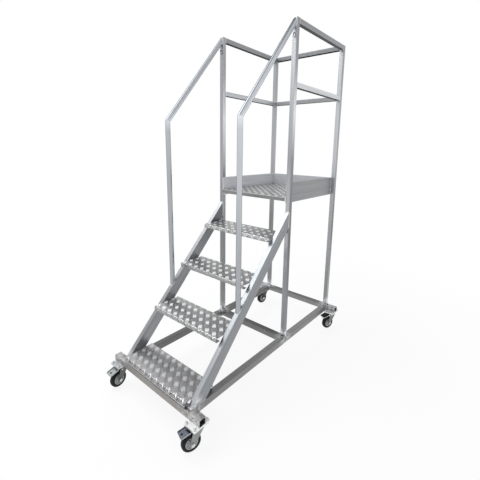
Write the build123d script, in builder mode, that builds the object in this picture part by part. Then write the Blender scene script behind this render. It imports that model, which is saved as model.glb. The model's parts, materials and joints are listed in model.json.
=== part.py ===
from build123d import *

import os
from math import atan2, cos, hypot, radians, sin

# Mobile platform ladder: a welded aluminium stair and guarded platform on four braked swivel castors.
# Millimetres. +Z is up and +Y runs from the foot of the stair to the platform. The origin lies on the
# floor, under the middle of the overall box.

# Wheels
wheel_diameter = 100.0
tyre_width = 32.0
tyre_depth = 17.0
rim_width = 26.0
rim_depth = 4.0
web_thickness = 8.0
hub_diameter = 24.0
axle_diameter = 10.0
axle_head = 17.0
axle_head_height = 6.0

# Castor forks, swivels and brakes
castor_height = 137.0
castor_trail = 33.0
fork_thickness = 3.0
fork_boss = 28.0
crown_length = 54.0
crown_thickness = 4.0
fork_bend = 2.5
race_diameter = 54.0
race_taper = 5.0
race_height = 6.0
ring_diameter = 46.0
ring_height = 3.0
king_pin_diameter = 12.0
king_pin_head = 20.0
king_pin_head_height = 6.0
neck_length = 12.0
pedal_reach = 64.0
pedal_width = 52.0
pedal_corner = 6.0
pedal_fall = 14.0
pedal_sheet = 2.5
pedal_rim = 4.0
pedal_hole = 12.0
tab_width = 20.0
tab_length = 9.0
shoe_width = 22.0
shoe_length = 16.0
front_left_turn = 6.0
front_right_turn = -18.0
rear_left_turn = -9.0
rear_right_turn = -20.0

# Castor plates and the pads that carry them
plate_width = 80.0
plate_length = 100.0
plate_thickness = 3.0
plate_corner = 8.0
pad_thickness = 8.0
bolt_hole = 9.0
bolt_spacing_x = 60.0
bolt_spacing_y = 80.0

# Clearances
running_gap = 0.08
race_gap = 0.5
hub_gap = 1.0
tyre_side_gap = 5.0
shoe_gap = 5.5

# Base
base_tube = 40.0
base_wall = 3.0
cross_tube_length = 770.0
castor_pitch = 1460.0
tube_corner = 2.0

# Posts and rails
frame_spacing = 580.0
post_side = 30.0
post_wall = 2.0
platform_length = 630.0
guard_height = 1030.0
mid_rail_height = 670.0

# Stair
rise = 230.0
going = 215.0
tread_count = 4
first_tread_drop = 14.0
first_nose_ahead = 15.0
nose_overhang = 58.0
tread_depth = 185.0
tread_sheet = 3.0
nose_height = 25.0
nose_return = 26.0
rear_flange = 25.0
fold_radius = 5.0
stringer_depth = 70.0
stringer_width = 30.0
stringer_wall = 2.5

# Platform
deck_sheet = 4.0
deck_lip = 25.0
deck_overhang = 10.0
toe_height = 90.0
toe_drop = 40.0
toe_sheet = 3.0
toe_corner = 12.0
bearer_width = 40.0
bearer_height = 25.0
bearer_wall = 2.0

# Handrails
handrail_diameter = 30.0
handrail_wall = 2.0
handrail_ahead = 475.0
knee_height = 1600.0
handrail_top_drop = 26.0

# Levels and places that follow from the sizes above
wheel_radius = wheel_diameter / 2
fork_gap = tyre_width + 2 * tyre_side_gap
base_bottom = castor_height + pad_thickness
base_top = base_bottom + base_tube
deck_top = rise * (tread_count + 1)
guard_top = deck_top + guard_height
side_x = frame_spacing / 2
castor_x = (cross_tube_length - plate_width) / 2
pedal_out = crown_length / 2 + pedal_reach - pedal_corner
pedal_half = pedal_width / 2 - pedal_corner
front_turn = radians(abs(front_right_turn))
front_overhang = pedal_out * cos(front_turn) + pedal_half * sin(front_turn) + pedal_corner
front_y = -(castor_pitch - front_overhang + plate_length / 2) / 2
rear_y = front_y + castor_pitch
post_y = rear_y - platform_length
post_face_y = post_y - post_side / 2
toe_inner_x = side_x - post_side / 2 - toe_sheet

sides = {"left": -1, "right": 1}

os.makedirs("parts", exist_ok=True)

# Straight square tubes of the base and guard rail.
# Columns: name, side, wall, direction, middle of the starting end, length.
beam_start = front_y + base_tube / 2
beam_length = castor_pitch - base_tube
cross_length = frame_spacing - base_tube
rail_length = platform_length - post_side
back_length = frame_spacing - post_side
base_z = base_bottom + base_tube / 2
top_z = guard_top - post_side / 2
mid_z = deck_top + mid_rail_height
along_x = (1, 0, 0)
along_y = (0, 1, 0)
straight_tubes = [
    ("front_cross_tube", base_tube, base_wall, along_x, (-cross_tube_length / 2, front_y, base_z), cross_tube_length),
    ("rear_cross_tube", base_tube, base_wall, along_x, (-cross_tube_length / 2, rear_y, base_z), cross_tube_length),
    ("middle_cross_tube", base_tube, base_wall, along_x, (-cross_length / 2, post_y, base_z), cross_length),
    ("top_rail_back", post_side, post_wall, along_x, (-back_length / 2, rear_y, top_z), back_length),
    ("mid_rail_back", post_side, post_wall, along_x, (-back_length / 2, rear_y, mid_z), back_length),
]
for side, sign in sides.items():
    x = sign * side_x
    rail_start = post_y + post_side / 2
    straight_tubes += [
        (f"side_beam_{side}", base_tube, base_wall, along_y, (x, beam_start, base_z), beam_length),
        (f"top_rail_{side}", post_side, post_wall, along_y, (x, rail_start, top_z), rail_length),
        (f"mid_rail_{side}", post_side, post_wall, along_y, (x, rail_start, mid_z), rail_length),
    ]
for name, section, wall, direction, start, length in straight_tubes:
    with BuildPart() as tube:
        with BuildSketch(Plane(origin=start, x_dir=(0, 0, 1), z_dir=direction)):
            RectangleRounded(section, section, tube_corner)
            Rectangle(section - 2 * wall, section - 2 * wall, mode=Mode.SUBTRACT)
        extrude(amount=length)
    tube.part.label = name
    export_step(tube.part, f"parts/{name}.step")

# Posts: hollow, closed by a welded cap at the top.
post_length = guard_top - base_top
for place, y in {"front": post_y, "rear": rear_y}.items():
    for side, sign in sides.items():
        name = f"post_{place}_{side}"
        with BuildPart() as post:
            with BuildSketch(Plane(origin=(sign * side_x, y, base_top))):
                RectangleRounded(post_side, post_side, tube_corner)
            extrude(amount=post_length)
            with BuildSketch(Plane(origin=(sign * side_x, y, base_top))):
                Rectangle(post_side - 2 * post_wall, post_side - 2 * post_wall)
            extrude(amount=post_length - post_wall, mode=Mode.SUBTRACT)
        post.part.label = name
        export_step(post.part, f"parts/{name}.step")

# Stringers: rectangular tubes on the slope of the stair, cut level on the base and upright on the posts.
slope = atan2(rise, going)
first_nose_y = front_y - first_nose_ahead
stringer_y = first_nose_y + nose_overhang
up_slope = (0, cos(slope), sin(slope))
across_slope = (0, sin(slope), -cos(slope))
stringer_length = (post_face_y - stringer_y) / cos(slope)
stringer_end = stringer_depth * 2
stringer_face = Plane(origin=(0, stringer_y, rise), x_dir=(1, 0, 0), z_dir=(0, -sin(slope), cos(slope)))
stringer_start = -stringer_end - (rise - base_top) / sin(slope)
for side, sign in sides.items():
    name = f"stringer_{side}"
    start = (
        sign * side_x,
        stringer_y + stringer_start * up_slope[1] + stringer_depth / 2 * across_slope[1],
        rise + stringer_start * up_slope[2] + stringer_depth / 2 * across_slope[2],
    )
    with BuildPart() as stringer:
        with BuildSketch(Plane(origin=start, x_dir=(1, 0, 0), z_dir=up_slope)):
            RectangleRounded(stringer_width, stringer_depth, tube_corner)
            Rectangle(stringer_width - 2 * stringer_wall, stringer_depth - 2 * stringer_wall, mode=Mode.SUBTRACT)
        extrude(amount=stringer_length - stringer_start + stringer_end)
        split(bisect_by=Plane(origin=(0, 0, base_top)), keep=Keep.TOP)
        split(bisect_by=Plane(origin=(0, post_face_y, 0), z_dir=(0, -1, 0)), keep=Keep.TOP)
    stringer.part.label = name
    export_step(stringer.part, f"parts/{name}.step")

# Treads: folded sheet with a boxed nose and a rear flange, between the stringers. The first lies lower, close over
# the front tube.
tread_width = frame_spacing - stringer_width
tread_tops = [rise * (step + 1) for step in range(tread_count)]
tread_tops[0] -= first_tread_drop
for step, top in enumerate(tread_tops):
    name = f"tread_{step + 1}"
    nose = first_nose_y + step * going
    back = nose + tread_depth
    nose_bottom = top - nose_height
    with BuildPart() as tread:
        with BuildSketch(Plane.YZ) as fold:
            with BuildLine():
                Polyline(
                    (nose, top),
                    (back, top),
                    (back, top - rear_flange),
                    (back - tread_sheet, top - rear_flange),
                    (back - tread_sheet, top - tread_sheet),
                    (nose + tread_sheet, top - tread_sheet),
                    (nose + tread_sheet, nose_bottom + tread_sheet),
                    (nose + nose_return, nose_bottom + tread_sheet),
                    (nose + nose_return, nose_bottom),
                    (nose, nose_bottom),
                    close=True,
                )
            make_face()
            fillet(fold.vertices().group_by(Axis.X)[0], fold_radius)
        extrude(amount=tread_width / 2, both=True)
    tread.part.label = name
    export_step(tread.part, f"parts/{name}.step")

# Deck: a sheet with its front and rear edges folded down, between the toe boards.
deck_front = post_face_y - deck_overhang
deck_back = rear_y - post_side / 2 - toe_sheet
with BuildPart() as deck:
    with BuildSketch(Plane.YZ) as fold:
        with BuildLine():
            Polyline(
                (deck_front, deck_top),
                (deck_back, deck_top),
                (deck_back, deck_top - deck_lip),
                (deck_back - deck_sheet, deck_top - deck_lip),
                (deck_back - deck_sheet, deck_top - deck_sheet),
                (deck_front + deck_sheet, deck_top - deck_sheet),
                (deck_front + deck_sheet, deck_top - deck_lip),
                (deck_front, deck_top - deck_lip),
                close=True,
            )
        make_face()
        fillet(fold.vertices().group_by(Axis.X)[0].sort_by(Axis.Y)[-1], fold_radius)
    extrude(amount=toe_inner_x, both=True)
deck.part.label = "deck"
export_step(deck.part, "parts/deck.step")

# Bearer under the middle of the deck, from toe board to toe board.
bearer_y = (deck_front + deck_back) / 2
bearer_z = deck_top - deck_sheet - bearer_height / 2
with BuildPart() as deck_bearer:
    with BuildSketch(Plane(origin=(-toe_inner_x, bearer_y, bearer_z), x_dir=(0, 1, 0), z_dir=along_x)):
        Rectangle(bearer_width, bearer_height)
        Rectangle(bearer_width - 2 * bearer_wall, bearer_height - 2 * bearer_wall, mode=Mode.SUBTRACT)
    extrude(amount=2 * toe_inner_x)
deck_bearer.part.label = "deck_bearer"
export_step(deck_bearer.part, "parts/deck_bearer.step")

# Toe boards: upright sheets on the inner faces of the posts, which also carry the deck.
toe_bottom = deck_top - toe_drop
toe_top = deck_top + toe_height
toe_back = rear_y - post_side / 2
for side, sign in sides.items():
    name = f"toe_board_{side}"
    with BuildPart() as toe_board:
        with BuildSketch(Plane(origin=(sign * toe_inner_x, 0, 0), x_dir=(0, 1, 0), z_dir=along_x)) as board:
            with BuildLine():
                Polyline(
                    (post_face_y, toe_bottom),
                    (toe_back, toe_bottom),
                    (toe_back, toe_top),
                    (post_face_y, toe_top),
                    close=True,
                )
            make_face()
            fillet(board.vertices().group_by(Axis.X)[0], toe_corner)
        extrude(amount=sign * toe_sheet)
    toe_board.part.label = name
    export_step(toe_board.part, f"parts/{name}.step")
with BuildPart() as toe_board_back:
    with BuildSketch(Plane.XZ.offset(-toe_back)):
        with Locations((0, (toe_bottom + toe_top) / 2)):
            Rectangle(2 * toe_inner_x, toe_top - toe_bottom)
    extrude(amount=toe_sheet)
toe_board_back.part.label = "toe_board_back"
export_step(toe_board_back.part, "parts/toe_board_back.step")

# Handrails: round tube, mitred at the knee, cut flush on the stringer and on the front post.
handrail_y = post_y - handrail_ahead
handrail_top = guard_top - handrail_top_drop
handrail_run = post_face_y - handrail_y
handrail_fall = (handrail_top - knee_height) / handrail_run
foot_z = rise + (handrail_y - stringer_y) * rise / going
for side, sign in sides.items():
    name = f"handrail_{side}"
    x = sign * side_x
    foot = (x, handrail_y, foot_z - handrail_diameter)
    knee = (x, handrail_y, knee_height)
    head = (x, post_face_y + handrail_diameter, handrail_top + handrail_fall * handrail_diameter)
    with BuildPart() as handrail:
        with BuildLine() as run:
            Polyline(foot, knee, head)
        with BuildSketch(Plane(origin=foot)):
            Circle(handrail_diameter / 2)
            Circle(handrail_diameter / 2 - handrail_wall, mode=Mode.SUBTRACT)
        sweep(path=run.wires()[0], transition=Transition.RIGHT)
        split(bisect_by=Plane(origin=(0, post_face_y, 0), z_dir=(0, -1, 0)), keep=Keep.TOP)
        split(bisect_by=stringer_face, keep=Keep.TOP)
    handrail.part.label = name
    export_step(handrail.part, f"parts/{name}.step")

# Castors. Columns: corner, swivel axis x, swivel axis y, turn of the fork from trailing forward.
corners = [
    ("front_left", -castor_x, front_y, front_left_turn),
    ("front_right", castor_x, front_y, front_right_turn),
    ("rear_left", -castor_x, rear_y, rear_left_turn),
    ("rear_right", castor_x, rear_y, rear_right_turn),
]
plate_bottom = castor_height - plate_thickness
race_bottom = plate_bottom - race_height
ring_top = race_bottom - race_gap
crown_top = ring_top - ring_height
crown_bottom = crown_top - crown_thickness
crown_width = fork_gap + 2 * fork_thickness
rim_radius = wheel_radius - tyre_depth
hub_length = fork_gap - 2 * hub_gap
bore_radius = axle_diameter / 2 + running_gap
pedal_root = -crown_length / 2
pedal_under = (crown_top + crown_bottom - pedal_sheet) / 2
pedal_length = hypot(pedal_reach, pedal_fall)
pedal_slope = atan2(pedal_fall, pedal_reach)
neck_width = fork_gap - 2 * hub_gap
tray_length = pedal_length - neck_length
tray_middle = -neck_length - tray_length / 2
shoe_bottom = wheel_diameter + shoe_gap
pedal_pitch = pedal_fall / pedal_reach
shoe_back_top = pedal_under + pedal_sheet / 2 - pedal_pitch * (castor_trail + pedal_root)
shoe_front_top = shoe_back_top - pedal_pitch * shoe_length
for corner, cx, cy, turn in corners:
    ground = Plane(origin=(cx, cy, 0))
    swivel = ground.rotated((0, 0, turn))
    across = swivel.x_dir
    along = swivel.y_dir
    hub_centre = swivel.from_local_coords((0, -castor_trail, wheel_radius))
    wheel_plane = Plane(origin=hub_centre, x_dir=across, z_dir=-along)
    axle_line = Axis(hub_centre, across)

    # Pad welded under the cross tube, drilled for the castor's bolts.
    with BuildPart() as pad:
        with BuildSketch(ground.offset(castor_height)):
            Rectangle(plate_width, plate_length)
            with GridLocations(bolt_spacing_x, bolt_spacing_y, 2, 2):
                Circle(bolt_hole / 2, mode=Mode.SUBTRACT)
        extrude(amount=pad_thickness)
    pad.part.label = f"castor_pad_{corner}"
    export_step(pad.part, f"parts/castor_pad_{corner}.step")

    # Pressed top plate with the upper ball race and the king pin.
    with BuildPart() as plate:
        with BuildSketch(ground.offset(plate_bottom)):
            RectangleRounded(plate_width, plate_length, plate_corner)
            with GridLocations(bolt_spacing_x, bolt_spacing_y, 2, 2):
                Circle(bolt_hole / 2, mode=Mode.SUBTRACT)
        extrude(amount=plate_thickness)
        with BuildSketch(ground.offset(race_bottom)):
            Circle(race_diameter / 2 - race_taper)
        with BuildSketch(ground.offset(plate_bottom)):
            Circle(race_diameter / 2)
        loft()
        with BuildSketch(ground.offset(crown_bottom - race_gap)):
            Circle(king_pin_diameter / 2)
        extrude(amount=race_bottom - crown_bottom + race_gap)
        with BuildSketch(ground.offset(crown_bottom - race_gap)):
            Circle(king_pin_head / 2)
        extrude(amount=-king_pin_head_height)
    plate.part.label = f"castor_plate_{corner}"
    export_step(plate.part, f"parts/castor_plate_{corner}.step")

    # Fork: a crown with two cheeks that taper forward to the axle, and the lower ball race.
    with BuildPart() as fork:
        with BuildSketch(swivel.offset(crown_bottom)):
            Rectangle(crown_width, crown_length)
        extrude(amount=crown_thickness)
        for sign in sides.values():
            cheek_origin = swivel.from_local_coords((sign * fork_gap / 2, 0, 0))
            with BuildSketch(Plane(origin=cheek_origin, x_dir=along, z_dir=across)):
                with BuildLine():
                    CenterArc((-castor_trail, wheel_radius), fork_boss / 2, 0, 360)
                    Polyline(
                        (-crown_length / 2, crown_bottom),
                        (crown_length / 2, crown_bottom),
                        (crown_length / 2, crown_top),
                        (-crown_length / 2, crown_top),
                        close=True,
                    )
                make_hull()
                with Locations((-castor_trail, wheel_radius)):
                    Circle(axle_diameter / 2, mode=Mode.SUBTRACT)
            extrude(amount=sign * fork_thickness)
        fillet(fork.edges().filter_by(Axis((0, 0, 0), along)).group_by(Axis.Z)[-1], fork_bend)
        with BuildSketch(swivel.offset(crown_top)):
            Circle(ring_diameter / 2)
        extrude(amount=ring_height)
        with BuildSketch(swivel.offset(crown_bottom)):
            Circle(king_pin_diameter / 2 + running_gap)
        extrude(amount=ring_top - crown_bottom, mode=Mode.SUBTRACT)
    fork.part.label = f"fork_{corner}"
    export_step(fork.part, f"parts/fork_{corner}.step")

    # Brake pedal: a pressed tray that falls away over the wheel, with a tab at its tip and the shoe under it.
    pedal_origin = swivel.from_local_coords((0, pedal_root, pedal_under))
    pedal_normal = Vector(0, 0, cos(pedal_slope)) - along * sin(pedal_slope)
    pedal_plane = Plane(origin=pedal_origin, x_dir=across, z_dir=pedal_normal)
    with BuildPart() as brake:
        with BuildSketch(pedal_plane):
            with Locations((0, -neck_length / 2)):
                Rectangle(neck_width, neck_length)
            with Locations((0, tray_middle)):
                RectangleRounded(pedal_width, tray_length, pedal_corner)
        extrude(amount=pedal_sheet)
        with BuildSketch(pedal_plane.offset(pedal_sheet)):
            with Locations((0, tray_middle)):
                RectangleRounded(pedal_width, tray_length, pedal_corner)
                RectangleRounded(
                    pedal_width - 2 * pedal_sheet,
                    tray_length - 2 * pedal_sheet,
                    pedal_corner - pedal_sheet,
                    mode=Mode.SUBTRACT,
                )
        extrude(amount=pedal_rim)
        with BuildSketch(pedal_plane):
            with Locations((0, pedal_sheet / 2 - pedal_length)):
                Rectangle(tab_width, pedal_sheet)
        extrude(amount=-tab_length)
        with BuildSketch(Plane(origin=(cx, cy, 0), x_dir=along, z_dir=across)):
            with BuildLine():
                Polyline(
                    (-castor_trail, shoe_bottom),
                    (-castor_trail, shoe_back_top),
                    (-castor_trail - shoe_length, shoe_front_top),
                    (-castor_trail - shoe_length, shoe_bottom),
                    close=True,
                )
            make_face()
        extrude(amount=shoe_width / 2, both=True)
        with BuildSketch(pedal_plane):
            with Locations((0, tray_middle - pedal_hole)):
                Circle(pedal_hole / 2)
        extrude(amount=pedal_sheet, mode=Mode.SUBTRACT)
    brake.part.label = f"brake_{corner}"
    export_step(brake.part, f"parts/brake_{corner}.step")

    # Axle bolt through both cheeks, with its head and nut.
    with BuildPart() as axle:
        with BuildSketch(Plane(origin=hub_centre, x_dir=along, z_dir=across)):
            Circle(axle_diameter / 2)
        extrude(amount=crown_width / 2, both=True)
        for sign in sides.values():
            head_origin = swivel.from_local_coords((sign * crown_width / 2, -castor_trail, wheel_radius))
            with BuildSketch(Plane(origin=head_origin, x_dir=along, z_dir=across)):
                RegularPolygon(axle_head / 2, 6, major_radius=False)
            extrude(amount=sign * axle_head_height)
    axle.part.label = f"axle_{corner}"
    export_step(axle.part, f"parts/axle_{corner}.step")

    # Rim: hub, web and felloe turned about the axle.
    with BuildPart() as rim:
        with BuildSketch(wheel_plane):
            with Locations((0, (bore_radius + hub_diameter / 2) / 2)):
                Rectangle(hub_length, hub_diameter / 2 - bore_radius)
            with Locations((0, (hub_diameter / 2 + rim_radius) / 2)):
                Rectangle(web_thickness, rim_radius - hub_diameter / 2)
            with Locations((0, rim_radius - rim_depth / 2)):
                Rectangle(rim_width, rim_depth)
        revolve(axis=axle_line)
    rim.part.label = f"rim_{corner}"
    export_step(rim.part, f"parts/rim_{corner}.step")

    # Tyre: a solid rubber band on the rim.
    with BuildPart() as tyre:
        with BuildSketch(wheel_plane):
            with Locations((0, wheel_radius - tyre_depth / 2)):
                Rectangle(tyre_width, tyre_depth)
        revolve(axis=axle_line)
    tyre.part.label = f"tyre_{corner}"
    export_step(tyre.part, f"parts/tyre_{corner}.step")
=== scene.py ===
"""Mobile platform ladder: finishes, chequer bars, welds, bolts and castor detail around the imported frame."""

import json
import math

import bmesh
import bpy
import numpy as np
from mathutils import Matrix, Vector


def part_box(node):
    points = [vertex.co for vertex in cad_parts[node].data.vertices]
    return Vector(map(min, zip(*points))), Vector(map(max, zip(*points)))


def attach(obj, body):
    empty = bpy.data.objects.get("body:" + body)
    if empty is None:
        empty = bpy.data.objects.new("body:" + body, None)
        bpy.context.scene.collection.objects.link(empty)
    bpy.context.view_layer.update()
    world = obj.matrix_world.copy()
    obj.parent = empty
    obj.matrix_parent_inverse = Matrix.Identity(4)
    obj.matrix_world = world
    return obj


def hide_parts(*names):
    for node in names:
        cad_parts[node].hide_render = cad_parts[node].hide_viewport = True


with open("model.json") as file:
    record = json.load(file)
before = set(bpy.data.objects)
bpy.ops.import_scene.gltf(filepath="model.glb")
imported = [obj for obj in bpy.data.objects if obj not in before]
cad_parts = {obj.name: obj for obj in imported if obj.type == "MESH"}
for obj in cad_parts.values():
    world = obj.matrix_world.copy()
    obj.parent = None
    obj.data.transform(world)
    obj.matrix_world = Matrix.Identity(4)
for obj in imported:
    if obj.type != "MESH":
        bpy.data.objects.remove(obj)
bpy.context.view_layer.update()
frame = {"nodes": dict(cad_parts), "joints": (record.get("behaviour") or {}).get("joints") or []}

MM = 0.001
nodes = frame["nodes"]
scene = bpy.context.scene
scene.view_settings.view_transform = "Standard"


# Node helpers

FLOAT, VECTOR = "NodeSocketFloat", "NodeSocketVector"


def link(tree, start, end):
    tree.links.new(start, end)


def put(tree, value, socket):
    """A number, a colour or another node's output on a socket."""
    if isinstance(value, bpy.types.NodeSocket):
        link(tree, value, socket)
    else:
        socket.default_value = value if isinstance(value, (int, float)) else (*value, 1)


def add(tree, kind, **settings):
    """A node of that kind with its settings; a setting named like an input goes on that input."""
    node = tree.nodes.new(kind)
    for key, value in settings.items():
        if hasattr(node, key):
            setattr(node, key, value)
        else:
            put(tree, value, node.inputs[key.replace("_", " ").title()])
    return node


def ramp(tree, fac, stops):
    """A grey or colour that follows a value, from (place, grey or colour) stops."""
    node = add(tree, "ShaderNodeValToRGB", fac=fac)
    element = node.color_ramp.elements
    while len(element) < len(stops):
        element.new(0.5)
    for e, (place, colour) in zip(element, stops):
        e.position = place
        e.color = (*colour, 1) if isinstance(colour, tuple) else (colour, colour, colour, 1)
    return node.outputs["Color"]


def reckon(tree, operation, value, other=None):
    """One sum on a value, with a number or a second value."""
    node = add(tree, "ShaderNodeMath", operation=operation)
    link(tree, value, node.inputs[0])
    if other is not None:
        put(tree, other, node.inputs[1])
    return node.outputs[0]


def scaled(tree, value, factor):
    return reckon(tree, "MULTIPLY", value, factor)


def stepped(tree, value, start, end, low=0.0, high=1.0):
    """A soft step from low to high while the value goes from start to end."""
    return add(tree, "ShaderNodeMapRange", interpolation_type="SMOOTHSTEP", value=value, from_min=start,
               from_max=end, to_min=low, to_max=high).outputs["Result"]


def span_value(tree, value, low, high):
    """A value of 0 to 1 spread between low and high."""
    return add(tree, "ShaderNodeMapRange", value=value, to_min=low, to_max=high).outputs["Result"]


def mixed(tree, fac, low, high, kind="RGBA", blend="MIX"):
    """From low to high by a mask, for colours or numbers."""
    node = add(tree, "ShaderNodeMix", data_type=kind, blend_type=blend, factor=fac, a=low, b=high)
    return node.outputs["Result"]


def dimmed(tree, colour, value):
    """Colour times a value."""
    return mixed(tree, 1.0, colour, value, blend="MULTIPLY")


def tone(tree, colour, mask, share, towards):
    """Colour moved towards another one by a share of a mask."""
    return mixed(tree, scaled(tree, mask, share), colour, towards)


def noise(tree, vector, **settings):
    return add(tree, "ShaderNodeTexNoise", vector=vector, **settings).outputs["Fac"]


def axes(tree, vector):
    """The three parts of a vector."""
    return add(tree, "ShaderNodeSeparateXYZ", vector=vector).outputs


def length(tree, vector):
    return add(tree, "ShaderNodeVectorMath", operation="LENGTH", vector=vector).outputs["Value"]


# Node groups

def new_group(name, inputs, outputs):
    """An empty shader node group, with (name, kind) inputs and outputs that are numbers."""
    tree = bpy.data.node_groups.new(name, "ShaderNodeTree")
    for socket, kind in inputs:
        tree.interface.new_socket(name=socket, in_out="INPUT", socket_type=kind)
    for socket in outputs:
        tree.interface.new_socket(name=socket, in_out="OUTPUT", socket_type=FLOAT)
    return tree, tree.nodes.new("NodeGroupInput").outputs, tree.nodes.new("NodeGroupOutput").inputs


def drawn_grain_group():
    """Fine lines left by the extrusion die or the rolling mill, along the coordinates' stretched axis."""
    tree, given, out = new_group("drawn_grain", [("Vector", VECTOR)], ["Lines", "Height"])
    fine = noise(tree, given["Vector"], scale=1.0, detail=3.0, roughness=0.6)
    broad = noise(tree, given["Vector"], scale=0.22, detail=2.0, roughness=0.5)
    both = reckon(tree, "ADD", scaled(tree, fine, 0.55), scaled(tree, broad, 0.45))
    link(tree, stepped(tree, both, 0.34, 0.66), out["Lines"])
    link(tree, fine, out["Height"])
    return tree


def handling_group():
    """Cloudy hand marks, dull patches and short scuffs that come with use."""
    inputs = [("Vector", VECTOR), ("Cloud Scale", FLOAT), ("Scuff Scale", FLOAT)]
    tree, given, out = new_group("handling_marks", inputs, ["Cloud", "Scuffs"])
    cloud = noise(tree, given["Vector"], scale=given["Cloud Scale"], detail=4.0, roughness=0.55)
    scuff = noise(tree, given["Vector"], scale=given["Scuff Scale"], detail=2.0, roughness=0.7,
                  distortion=1.2)
    link(tree, cloud, out["Cloud"])
    link(tree, ramp(tree, scuff, [(0.60, 0.0), (0.72, 1.0)]), out["Scuffs"])
    return tree


def face_group():
    """Masks of the ways a face looks: 1 where it looks down, sideways, up, or to front or back, else 0."""
    tree, given, out = new_group("face_masks", [("Normal", VECTOR)], ["Under", "Side", "Top", "Front"])
    x, y, z = axes(tree, given["Normal"])
    across, along = reckon(tree, "ABSOLUTE", x), reckon(tree, "ABSOLUTE", y)
    for look, source, start, end in (("Under", z, -0.35, -0.9), ("Side", across, 0.45, 0.9),
                                     ("Top", z, 0.35, 0.62), ("Front", along, 0.45, 0.9)):
        link(tree, stepped(tree, source, start, end), out[look])
    return tree


def brushed_group():
    """Bright patches left by the wire brush round the welds of posts and base tubes."""
    tree, given, out = new_group("wire_brushed", [("Vector", VECTOR)], ["Mask"])
    x, y, z = axes(tree, given["Vector"])
    across = reckon(tree, "SUBTRACT", reckon(tree, "ABSOLUTE", x), BRUSHED_X)
    along = [reckon(tree, "ABSOLUTE", reckon(tree, "SUBTRACT", y, welded)) for welded in WELDED_Y]
    along = reckon(tree, "MINIMUM", reckon(tree, "MINIMUM", along[0], along[1]), along[2])
    up = reckon(tree, "SUBTRACT", z, BRUSHED_Z)
    place = add(tree, "ShaderNodeCombineXYZ", x=scaled(tree, across, BRUSHED_SHARE), y=along, z=up)
    near = stepped(tree, length(tree, place.outputs["Vector"]), *BRUSHED_REACH)
    uneven = stepped(tree, noise(tree, given["Vector"], scale=38.0, detail=3.0), 0.36, 0.56)
    link(tree, reckon(tree, "MULTIPLY", near, uneven), out["Mask"])
    return tree


def middle_of(node):
    """The middle of a node's box."""
    low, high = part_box(node)
    return (low + high) / 2


# Wire brushed patches: their middles across and up, the share of a distance across that counts, the distances
# between which they fade out, and their middles along.
BRUSHED_X, BRUSHED_Z, BRUSHED_SHARE, BRUSHED_REACH = 0.325, 0.178, 0.75, (0.095, 0.03)
WELDED_Y = [middle_of(f"{place}_cross_tube").y for place in ("front", "middle", "rear")]
DRAWN_GRAIN = drawn_grain_group()
HANDLING = handling_group()
FACES = face_group()
BRUSHED = brushed_group()
FULL_HEIGHT = 2.2


# Finishes

def new_material(name, **settings):
    """A material, its nodes, and its shader with these settings."""
    material = bpy.data.materials.new(name)
    material.use_nodes = True
    tree = material.node_tree
    tree.nodes.clear()
    shader = add(tree, "ShaderNodeBsdfPrincipled", **settings)
    add(tree, "ShaderNodeOutputMaterial", surface=shader.outputs["BSDF"])
    return material, tree, shader


def by_height(tree, coordinates, stops):
    """A value that follows the height over the floor, from (metres, value) stops."""
    height = scaled(tree, axes(tree, coordinates)["Z"], 1 / FULL_HEIGHT)
    return ramp(tree, height, [(z / FULL_HEIGHT, value) for z, value in stops])


def grouped(tree, group, **settings):
    """The outputs of a node group that has these settings."""
    return add(tree, "ShaderNodeGroup", node_tree=group, **settings).outputs


def face_masks(tree):
    return grouped(tree, FACES, normal=add(tree, "ShaderNodeNewGeometry").outputs["Normal"])


def hand_marks(tree, coordinates, cloud=6.0, scuff=55.0):
    """The marks of use, with the scales of their clouds and scuffs."""
    return grouped(tree, HANDLING, vector=coordinates, cloud_scale=cloud, scuff_scale=scuff)


def surfaced(tree, shader, colour, marks, rough):
    """Gives the shader its colour, and a roughness that varies with the clouds of the marks."""
    link(tree, colour, shader.inputs["Base Color"])
    link(tree, span_value(tree, marks["Cloud"], *rough), shader.inputs["Roughness"])


def bumped(tree, shader, height, strength, distance):
    bump = add(tree, "ShaderNodeBump", strength=strength, distance=distance)
    link(tree, height, bump.inputs["Height"])
    link(tree, bump.outputs["Normal"], shader.inputs["Normal"])


def object_coordinates(tree, stretch=(1, 1, 1), turn=(0, 0, 0)):
    """The object's own coordinates, plain, and stretched along the turned axes."""
    place = add(tree, "ShaderNodeTexCoord").outputs["Object"]
    mapping = add(tree, "ShaderNodeMapping", vector_type="TEXTURE", vector=place)
    mapping.inputs["Rotation"].default_value = turn
    mapping.inputs["Scale"].default_value = [1 / s for s in stretch]
    return place, mapping.outputs["Vector"]


PALE, COOL, DEEP = (0.93, 0.95, 0.98), (0.90, 0.945, 1.0), (0.74, 0.76, 0.80)


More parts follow.
